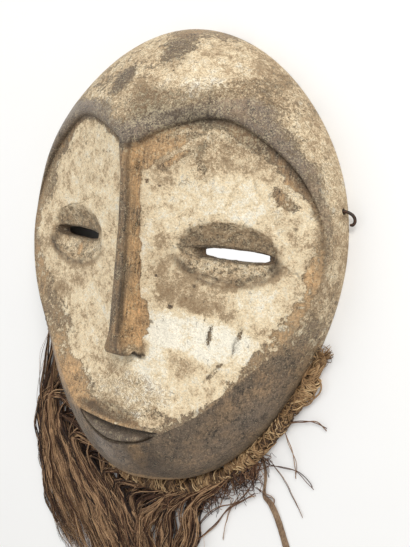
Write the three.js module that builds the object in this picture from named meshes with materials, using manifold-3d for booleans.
// Lega mask: a hollow carved face with a plaited fibre cord, a raffia beard and an iron wire loop.
// Millimetres. The mask lies on the flat back of its rim: +X is the viewer's right,
// +Y runs up the face to the forehead, +Z comes out of the face, and the rim is at z = 0.

import * as THREE from 'three';
import { mergeVertices } from 'three/addons/utils/BufferGeometryUtils.js';
import Module from 'manifold-3d';

const wasm = await Module();
wasm.setup();

const deg = THREE.MathUtils.degToRad;
const { clamp, lerp } = THREE.MathUtils;
const v3 = ( x, y, z ) => new THREE.Vector3( x, y, z );

// The gap kept between pieces that touch, and the distance under which two points are one
const GAP = 0.3;
const CLOSE = 0.02;

// The wooden shell; outline and roundness shape its edge and its cross section
const mask = {
	height: 270,
	halfWidth: 104,
	outline: [ 1, 0.123, - 0.1, - 0.113, 0.033 ],
	depth: 72,
	roundness: 1.5,
	foreheadRoundness: 0.35,
	wall: 9,
	around: 80
};

// Height of the shell's middle line as a share of a plain half ellipse, from chin to forehead
const CROWN = profile( [
	[ - 1, 1.36 ], [ - 0.92, 1.28 ], [ - 0.7, 1.06 ], [ - 0.4, 0.88 ],
	[ 0, 1.06 ], [ 0.4, 1.03 ], [ 0.75, 0.98 ], [ 1, 0.96 ]
] );

// Heart-shaped face: its edge as a radius round the middle, by angle in degrees
const HEART = profile( [
	[ - 90, 91 ], [ - 73, 93.5 ], [ - 59, 90 ], [ - 37, 86 ], [ - 12, 94 ], [ 10, 101 ],
	[ 30, 100 ], [ 47, 95.5 ], [ 60, 91 ], [ 71, 79 ], [ 86, 63.5 ], [ 90, 62 ]
] );

// Width of the rounded lip between the heart and the shell, by angle in degrees
const BROW_LIP = profile( [ [ - 90, 2 ], [ - 40, 3 ], [ 10, 5 ], [ 45, 9 ], [ 90, 9 ] ] );

// Rings of the skin: shares of the heart's radius, of the lip's width, and the count down the shell
const skin = { face: [ 0.13, 0.27, 0.41, 0.54, 0.66, 0.78, 0.89, 1 ], lip: [ 0.08, 0.35, 1 ],
	shell: 7, widestLip: 0.6 };

// Rings of the hollow, how closely it follows the shell, and how far its cutter runs out behind
const hollow = { rings: [ 0.15, 0.35, 0.55, 0.72, 0.85, 0.94, 0.985, 1 ], follow: 0.88, behind: 5 };

const face = { middle: 47.8, rise: [ 0.119, 8.92e-4, - 8.28e-6 ], fall: 0.356, fallRise: 2.13e-3,
	ease: 13.5, dish: 5.1e-4 };

const eye = { x: 51.7, y: 11.2, halfLong: 28.5, halfTall: 16.5, deep: 4.6, ball: 9, tilt: 20.5,
	sides: [ 32, 14 ] };

// The slit narrows between the two middle levels, which are heights above the bottom of the socket;
// the part that comes through lies nearer the outer end
const slit = { long: 45.5, tall: 6.4, throughLong: 33, throughTall: 5.2, throughOut: 2.5, drop: 0.6,
	square: 0.3, steps: 7, levels: [ - 16, - 5, 1, 12 ] };

const mouth = { halfLong: 27, top: - 91.5, sag: 1.2, tall: 9.5, deep: 3, edge: 0.4, above: 12,
	point: 0.7, steps: 10 };

// The lower lip rises from the mouth's floor between two shares of the mouth's height
const lip = { long: 0.96, from: 0.4, to: 0.93, rise: 0.8, sunk: 0.6, root: 5 };

// Nose stations from root to tip: y, ridge height, half width of the ridge and of the foot
const nose = {
	stations: [
		[ 66, 64, 3.2, 5.5 ], [ 58, 64.5, 2.4, 5 ], [ 46, 62.4, 2, 4.8 ], [ 22, 60.6, 2.2, 4.8 ],
		[ - 15, 60, 2.6, 5.4 ], [ - 36, 59.4, 3, 6.8 ], [ - 47, 58.4, 3.6, 9 ], [ - 50, 56.5, 3.6, 9.2 ]
	],
	crest: 0.5, foot: 1, root: 5
};

const nostril = { x: 6.2, y: - 50.4, z: 49, size: [ 2.6, 3.4, 2.2 ], sides: [ 8, 6 ] };

const cord = { lump: 0.5, lumpLength: 8.5, sides: 8, step: 3.2, points: 24, near: 0.01,
	from: deg( - 15.5 ), to: deg( - 158 ) };

// Half the cord's thickness, from its right end round the chin to its left end
const CORD_RADIUS = profile( [ [ 0, 2.8 ], [ 0.3, 3.2 ], [ 0.5, 4 ], [ 0.65, 4.3 ], [ 0.8, 3.6 ], [ 1, 3 ] ] );

// The beard; pairs are values at its right and left end
const beard = { locks: 13, across: 39, along: 12, thick: 8.5, tipThick: 2.2, from: 0.28, to: 0.99,
	clear: cord.lump + GAP + 0.1, leaves: [ 10, 2 ], drops: [ 2, 14 ], groove: 0.55, shortest: 0.9 };

// Rows that the fibres pass below the chin: right end, left end and how far the row bows down
const BEARD_ROWS = [
	[ [ 33, - 172 ], [ - 96, - 142 ], 22 ],
	[ [ 24, - 215 ], [ - 70, - 196 ], 26 ],
	[ [ 14, - 262 ], [ - 32, - 248 ], 16 ]
];

// A stem that opens into a flat strip, from the share of its length where it starts to widen
const leaf = {
	route: [ [ 74, - 113 ], [ 74.5, - 127 ], [ 79.5, - 131 ], [ 87, - 143 ], [ 98, - 168 ], [ 104, - 190 ] ],
	middle: 0.9, halfStem: 0.9, halfWide: 2.6, halfThick: 0.85, opens: 0.3, open: 0.75, sides: 6, steps: 14
};

// The wire comes from inside the hollow, out of its hole and back to the wood in a small eye
const wire = {
	route: [ [ 84, 36, 9.5 ], [ 90.5, 39, 6.3 ], [ 97, 39.4, 6 ], [ 102.5, 39.5, 5.9 ],
		[ 106.2, 38, 5.4 ], [ 107.6, 35.4, 4.8 ], [ 106.8, 33.2, 4.4 ], [ 105.1, 32.8, 4.2 ] ],
	radius: 0.85, sides: 6, steps: 26,
	hole: { radius: 1.9, sides: 8, length: 30, x: 98, y: 39.4, z: 6 }
};

const wood = new THREE.MeshStandardMaterial( { color: 0xd8ccb0, roughness: 0.85, metalness: 0 } );
const rope = new THREE.MeshStandardMaterial( { color: 0x8c6e46, roughness: 0.9, metalness: 0 } );
const raffia = new THREE.MeshStandardMaterial( { color: 0x5f412d, roughness: 0.8, metalness: 0 } );
const dryLeaf = new THREE.MeshStandardMaterial( { color: 0x7d6450, roughness: 0.75, metalness: 0 } );
const iron = new THREE.MeshStandardMaterial( { color: 0x3c322d, roughness: 0.6, metalness: 0.8 } );

// A smooth function through points [ at, value ], sorted by at
function profile( points ) {

	const slope = ( i ) => {

		const a = points[ Math.max( i - 1, 0 ) ], b = points[ Math.min( i + 1, points.length - 1 ) ];
		return ( b[ 1 ] - a[ 1 ] ) / ( b[ 0 ] - a[ 0 ] );

	};

	return ( at ) => {

		const x = clamp( at, points[ 0 ][ 0 ], points.at( - 1 )[ 0 ] );
		let i = 0;
		while ( i < points.length - 2 && x > points[ i + 1 ][ 0 ] ) i ++;
		const [ x0, y0 ] = points[ i ], [ x1, y1 ] = points[ i + 1 ];
		const h = x1 - x0, t = ( x - x0 ) / h;
		const rise = y1 - y0, m0 = slope( i ) * h, m1 = slope( i + 1 ) * h;
		return y0 + t * ( m0 + t * ( 3 * rise - 2 * m0 - m1 + t * ( m0 + m1 - 2 * rise ) ) );

	};

}

function polynomial( coefficients, at ) {

	return coefficients.reduceRight( ( sum, c ) => sum * at + c, 0 );

}

// Makes count values from 0 up to, but not including, the whole
function each( count, make, whole = 1 ) {

	return Array.from( { length: count }, ( _, i ) => make( i * whole / count, i ) );

}

// Half width of the mask's outline at height y
function halfWidth( y ) {

	const s = clamp( 2 * y / mask.height, - 1, 1 );
	return mask.halfWidth * Math.sqrt( 1 - s * s ) * polynomial( mask.outline, s );

}

function outlinePoint( t ) {

	const y = mask.height / 2 * Math.sin( t );
	return new THREE.Vector2( Math.sign( Math.cos( t ) ) * halfWidth( y ), y );

}

// Radius of the outline in the direction theta, by halving down to the smallest step
function outlineRadius( theta ) {

	let low = 0, high = mask.height;
	while ( high - low > 1e-9 ) {

		const r = ( low + high ) / 2;
		const y = r * Math.sin( theta );
		const inside = Math.abs( 2 * y ) < mask.height && Math.abs( r * Math.cos( theta ) ) < halfWidth( y );
		if ( inside ) low = r; else high = r;

	}

	return low;

}

// The convex shell that the face is cut into
function shellHeight( x, y ) {

	const s = clamp( 2 * y / mask.height, - 1, 1 );
	const crown = mask.depth * Math.sqrt( 1 - s * s ) * CROWN( s );
	const across = Math.abs( x ) / Math.max( halfWidth( y ), 1e-6 );
	const power = mask.roundness + mask.foreheadRoundness * Math.max( s, 0 ) ** 2;
	return crown * Math.sqrt( Math.max( 1 - Math.pow( across, power ), 0 ) );

}

// The two sloping planes of the face, hollowed along the middle and rounded under the nose
function faceHeight( x, y ) {

	const rise = y * polynomial( face.rise, y );
	const fall = ( face.fall + face.fallRise * y ) * ( Math.hypot( x, face.ease ) - face.ease );
	return face.middle + rise - fall + face.dish * x * x;

}

// The direction as an angle above the horizontal, the same on both sides of the face
function heartAngle( theta ) {

	return THREE.MathUtils.radToDeg( Math.asin( clamp( Math.sin( theta ), - 1, 1 ) ) );

}

// One closed solid through rings of equal count, each end closed by a fan to its middle
function loft( rings ) {

	const count = rings[ 0 ].length;
	const middle = ( ring ) => ring.reduce( ( sum, p ) => sum.add( p ), v3( 0, 0, 0 ) ).divideScalar( count );
	const points = [ ...rings.flat(), middle( rings[ 0 ] ), middle( rings.at( - 1 ) ) ];
	const first = points.length - 2, last = points.length - 1;
	const index = [];
	for ( let i = 0; i < count; i ++ ) {

		const j = ( i + 1 ) % count;
		for ( let k = 0; k < rings.length - 1; k ++ ) {

			const a = k * count, b = a + count;
			index.push( a + i, a + j, b + j, a + i, b + j, b + i );

		}

		const end = ( rings.length - 1 ) * count;
		index.push( first, j, i, last, end + i, end + j );

	}

	return closedGeometry( points, index );

}

// One closed solid between a grid of top points and the ground below them
function spread( columns ) {

	const rows = columns[ 0 ].length, count = columns.length * rows;
	const top = columns.flat();
	const points = [ ...top, ...top.map( ( p ) => p.clone().setZ( 0 ) ) ];
	const index = [];
	const wall = ( a, b ) => index.push( a, a + count, b + count, a, b + count, b );
	for ( let i = 0; i < columns.length - 1; i ++ ) {

		for ( let k = 0; k < rows - 1; k ++ ) {

			const a = i * rows + k, b = a + rows;
			index.push( a, b, b + 1, a, b + 1, a + 1 );
			index.push( a + count, b + count + 1, b + count, a + count, a + count + 1, b + count + 1 );

		}

		wall( i * rows, ( i + 1 ) * rows );
		wall( ( i + 2 ) * rows - 1, ( i + 1 ) * rows - 1 );

	}

	for ( let k = 0; k < rows - 1; k ++ ) {

		wall( k + 1, k );
		wall( count - rows + k, count - rows + k + 1 );

	}

	return closedGeometry( points, index );

}

// Turns the faces over where they point inwards
function closedGeometry( points, index ) {

	let volume = 0;
	for ( let i = 0; i < index.length; i += 3 ) {

		const [ a, b, c ] = [ 0, 1, 2 ].map( ( k ) => points[ index[ i + k ] ] );
		volume += a.dot( v3( 0, 0, 0 ).crossVectors( b, c ) );

	}

	if ( volume < 0 ) index.reverse();
	const geometry = new THREE.BufferGeometry().setFromPoints( points );
	geometry.setIndex( index );
	return geometry;

}

function toSolid( geometry ) {

	const bare = geometry.clone();
	bare.deleteAttribute( 'normal' );
	bare.deleteAttribute( 'uv' );
	const merged = mergeVertices( bare, 1e-4 );
	return new wasm.Manifold( new wasm.Mesh( {
		numProp: 3,
		vertProperties: new Float32Array( merged.attributes.position.array ),
		triVerts: new Uint32Array( merged.index.array )
	} ) );

}

// Joins points that a cut left too close together, and drops the triangles that this flattens
function toGeometry( solid ) {

	const { vertProperties, triVerts } = solid.getMesh();
	const cut = new THREE.BufferGeometry();
	cut.setAttribute( 'position', new THREE.BufferAttribute( vertProperties, 3 ) );
	cut.setIndex( new THREE.BufferAttribute( triVerts, 1 ) );
	const geometry = mergeVertices( cut, CLOSE );
	const corners = Array.from( geometry.index.array );
	const triangles = each( corners.length / 3, ( _, i ) => corners.slice( 3 * i, 3 * i + 3 ) );
	geometry.setIndex( triangles.filter( ( triangle ) => new Set( triangle ).size === 3 ).flat() );
	geometry.computeVertexNormals();
	return geometry;

}

function mesh( name, geometry, material ) {

	const piece = new THREE.Mesh( geometry, material );
	piece.name = name;
	return piece;

}

// Outer skin: rings across the face, over the brow's rounded lip and down the shell to the rim
function carvedSkin() {

	const downShell = each( skin.shell, ( _, k ) => Math.sin( ( k + 1 ) / skin.shell * Math.PI / 2 ) );
	const rows = [
		...skin.face.map( ( share ) => [ 'face', share ] ),
		...skin.lip.map( ( share ) => [ 'lip', share ] ),
		...downShell.map( ( share ) => [ 'shell', share ] )
	];
	return rows.map( ( [ zone, share ] ) => each( mask.around, ( theta ) => {

		const heart = HEART( heartAngle( theta ) ), edge = outlineRadius( theta );
		const width = Math.min( BROW_LIP( heartAngle( theta ) ), skin.widestLip * ( edge - heart ) );
		const radius = { face: share * heart, lip: heart + share * width,
			shell: lerp( heart + width, edge, share ) }[ zone ];
		const x = radius * Math.cos( theta ), y = radius * Math.sin( theta );
		const carved = faceHeight( x, y );
		const rounded = Math.sqrt( 1 - ( 1 - share ) ** 2 );
		const z = { face: carved, lip: lerp( carved, shellHeight( x, y ), rounded ),
			shell: share === 1 ? 0 : shellHeight( x, y ) }[ zone ];
		return v3( x, y, z );

	}, 2 * Math.PI ) );

}

// The hollow at the back, a wall's thickness inside the shell and behind the face
function hollowBack() {

	const rings = hollow.rings.map( ( share ) => each( mask.around / 2, ( theta ) => {

		const edge = outlineRadius( theta ), inner = edge - mask.wall;
		const x = share * Math.cos( theta ), y = share * Math.sin( theta );
		const underShell = hollow.follow * shellHeight( edge * x, edge * y );
		const behindFace = faceHeight( inner * x, inner * y ) - mask.wall;
		return v3( inner * x, inner * y, Math.max( Math.min( underShell, behindFace ), 0 ) );

	}, 2 * Math.PI ) );
	const behind = rings.at( - 1 ).map( ( p ) => v3( p.x, p.y, - hollow.behind ) );
	return loft( [ ...rings, behind ] );

}

function noseRidge() {

	return loft( nose.stations.map( ( [ y, top, ridge, foot ] ) => {

		const base = faceHeight( foot, y ) - nose.foot, root = faceHeight( foot, y ) - nose.root;
		const shoulder = top - nose.crest;
		return [ v3( - foot, y, root ), v3( - foot, y, base ), v3( - ridge, y, shoulder ), v3( 0, y, top ),
			v3( ridge, y, shoulder ), v3( foot, y, base ), v3( foot, y, root ) ];

	} ) );

}

// A lens outline in the XY plane; a low power squares its two arcs, a high one points its ends
function lens( halfLong, upper, lower, steps, power ) {

	const arc = ( rise, from, to ) => each( steps, ( share ) => {

		const u = Math.sin( lerp( from, to, share ) * Math.PI / 2 );
		return [ u * halfLong, rise * Math.pow( Math.max( 1 - u * u, 0 ), power ) ];

	} );
	return [ ...arc( upper, 1, - 1 ), ...arc( lower, - 1, 1 ) ];

}

// A plate over a lens outline in the mouth, from low to high above the wood; share is 1 at a corner
function mouthPlate( outline, low, high ) {

	const level = ( x, y ) => Math.min( faceHeight( x, y ), shellHeight( x, y ) );
	const ring = ( lift ) => outline.map( ( [ x, drop ] ) => {

		const y = drop + mouth.top;
		return v3( x, y, level( x, y ) + lift( Math.abs( x ) / mouth.halfLong ) );

	} );
	return loft( [ ring( low ), ring( high ) ] );

}

function mouthRecess() {

	const outline = lens( mouth.halfLong, - mouth.sag, - mouth.tall, mouth.steps, mouth.point );
	const floor = ( share ) => - mouth.edge - mouth.deep * Math.sqrt( 1 - share ** 2 );
	return mouthPlate( outline, floor, () => mouth.above );

}

function lowerLip() {

	const outline = lens( mouth.halfLong * lip.long, - mouth.tall * lip.from, - mouth.tall * lip.to,
		mouth.steps, mouth.point );
	return mouthPlate( outline, () => - lip.root, ( share ) => lip.rise * ( 1 - share ** 2 ) - lip.sunk );

}

// Stands a cutter at an eye, square to the sloping face
function atEye( cutter, side, lift ) {

	const x = side * eye.x, z = faceHeight( x, eye.y ) + lift;
	return cutter.rotateY( deg( side * eye.tilt ) ).translate( x, eye.y, z );

}

// The shallow oval that the eye lies in, cut by the cap of a flattened ball
function eyeSocket( side ) {

	const lift = eye.ball - eye.deep;
	const wider = 1 / Math.sqrt( 1 - ( lift / eye.ball ) ** 2 );
	const ball = new THREE.SphereGeometry( 1, ...eye.sides ).rotateX( Math.PI / 2 )
		.scale( eye.halfLong * wider, eye.halfTall * wider, eye.ball );
	return atEye( ball, side, lift );

}

// The slit, narrower and shorter where it comes through to the back
function eyeSlit( side ) {

	const ring = ( long, tall, out, z ) => lens( long / 2, tall / 2, - tall / 2, slit.steps, slit.square )
		.map( ( [ x, y ] ) => v3( x + side * out, y - slit.drop, z ) );
	const cutter = loft( [
		...slit.levels.slice( 0, 2 ).map( ( z ) => ring( slit.throughLong, slit.throughTall, slit.throughOut, z ) ),
		...slit.levels.slice( 2 ).map( ( z ) => ring( slit.long, slit.tall, 0, z ) )
	] );
	return atEye( cutter, side, - eye.deep );

}

function nostrilPit( side ) {

	return new THREE.SphereGeometry( 1, ...nostril.sides ).scale( ...nostril.size )
		.translate( side * nostril.x, nostril.y, nostril.z );

}

// The hole through the side of the rim that the wire comes out of
function wireHole() {

	const { radius, sides, length, x, y, z } = wire.hole;
	return new THREE.CylinderGeometry( radius, radius, length, sides ).rotateZ( Math.PI / 2 ).translate( x, y, z );

}

function maskBody() {

	const pairs = [ - 1, 1 ].flatMap( ( side ) => [ eyeSocket( side ), eyeSlit( side ), nostrilPit( side ) ] );
	const body = toSolid( loft( carvedSkin() ) ).add( toSolid( noseRidge() ) )
		.subtract( toSolid( hollowBack() ) )
		.subtract( toSolid( mouthRecess() ) ).add( toSolid( lowerLip() ) );
	const cut = ( solid, cutter ) => solid.subtract( toSolid( cutter ) );
	return toGeometry( [ ...pairs, wireHole() ].reduce( cut, body ) );

}

// The cord's middle line, laid on the ground round the lower rim; share runs from right to left
function cordPoint( share ) {

	const t = lerp( cord.from, cord.to, share );
	const along = outlinePoint( t + cord.near ).sub( outlinePoint( t - cord.near ) ).normalize();
	const half = CORD_RADIUS( share ) + cord.lump;
	const at = new THREE.Vector2( along.y, - along.x ).multiplyScalar( half + GAP ).add( outlinePoint( t ) );
	return v3( at.x, at.y, half );

}

// A tube round a curve, with its half width level with the ground and its half thickness across it
function tube( curve, stations, sides, halfWide, halfThick ) {

	return loft( Array.from( { length: stations + 1 }, ( _, k ) => {

		const u = k / stations;
		const at = curve.getPointAt( u ), along = curve.getTangentAt( u );
		const across = v3( - along.y, along.x, 0 ).normalize();
		const up = v3( 0, 0, 0 ).crossVectors( along, across ).normalize();
		return each( sides, ( _, i ) => {

			const a = 2 * Math.PI * ( i + 0.5 ) / sides;
			return at.clone().addScaledVector( across, halfWide( u ) * Math.cos( a ) )
				.addScaledVector( up, halfThick( u ) * Math.sin( a ) );

		} );

	} ) );

}

function plaitedCord() {

	const route = new THREE.CatmullRomCurve3(
		Array.from( { length: cord.points + 1 }, ( _, i ) => cordPoint( i / cord.points ) ) );
	const length = route.getLength();
	const lumps = length / cord.lumpLength;
	const radius = ( u ) => CORD_RADIUS( u ) + cord.lump * Math.cos( 2 * Math.PI * lumps * u );
	return tube( route, Math.round( length / cord.step ), cord.sides, radius, radius );

}

// A point on the ground beside the cord, so far out from its skin
function besideCord( share, out ) {

	const near = cordPoint( share - cord.near ), far = cordPoint( share + cord.near );
	const away = v3( near.y - far.y, far.x - near.x, 0 ).normalize();
	return cordPoint( share ).addScaledVector( away, CORD_RADIUS( share ) + out ).setZ( 0 );

}

// The way a fibre takes from the cord, out over the ground and down past the chin
function fibreRoute( u ) {

	const share = lerp( beard.from, beard.to, u );
	const leaving = besideCord( share, beard.clear + lerp( ...beard.leaves, u ) );
	leaving.y -= lerp( ...beard.drops, u );
	const rows = BEARD_ROWS.map( ( [ right, left, bow ] ) =>
		v3( lerp( right[ 0 ], left[ 0 ], u ), lerp( right[ 1 ], left[ 1 ], u ) - bow * Math.sin( Math.PI * u ), 0 ) );
	return new THREE.CatmullRomCurve3( [ besideCord( share, beard.clear ), leaving, ...rows ] );

}

// The beard as one spread of locks, ridged on top, flat below, with a pointed end to each lock
function raffiaBeard() {

	const ridge = ( u ) => Math.abs( Math.sin( Math.PI * beard.locks * u ) );
	return spread( Array.from( { length: beard.across + 1 }, ( _, i ) => {

		const u = i / beard.across, route = fibreRoute( u );
		return Array.from( { length: beard.along + 1 }, ( _, k ) => {

			const v = k / beard.along;
			const thick = lerp( beard.thick, beard.tipThick, v ) * lerp( beard.groove, 1, ridge( u ) );
			return route.getPoint( v * lerp( beard.shortest, 1, ridge( u ) ) ).setZ( thick );

		} );

	} ) );

}

function leafStrip() {

	const route = new THREE.CatmullRomCurve3( leaf.route.map( ( [ x, y ] ) => v3( x, y, leaf.middle ) ) );
	const opened = ( u ) => Math.sin( Math.PI * clamp( ( u - leaf.opens ) / leaf.open, 0, 1 ) );
	const wide = ( u ) => lerp( leaf.halfStem, leaf.halfWide, opened( u ) );
	return tube( route, leaf.steps, leaf.sides, wide, () => leaf.halfThick );

}

function wireLoop() {

	const route = new THREE.CatmullRomCurve3( wire.route.map( ( at ) => v3( ...at ) ) );
	return tube( route, wire.steps, wire.sides, () => wire.radius, () => wire.radius );

}

const lega = new THREE.Group();
lega.add(
	mesh( 'mask_body', maskBody(), wood ),
	mesh( 'plaited_cord', plaitedCord(), rope ),
	mesh( 'raffia_beard', raffiaBeard(), raffia ),
	mesh( 'leaf_strip', leafStrip(), dryLeaf ),
	mesh( 'wire_loop', wireLoop(), iron )
);

// The origin is under the middle of everything, at the level of the ground
const bounds = new THREE.Box3().setFromObject( lega );
const middle = bounds.getCenter( v3( 0, 0, 0 ) );
lega.position.set( - middle.x, - middle.y, - bounds.min.z );

export default lega;
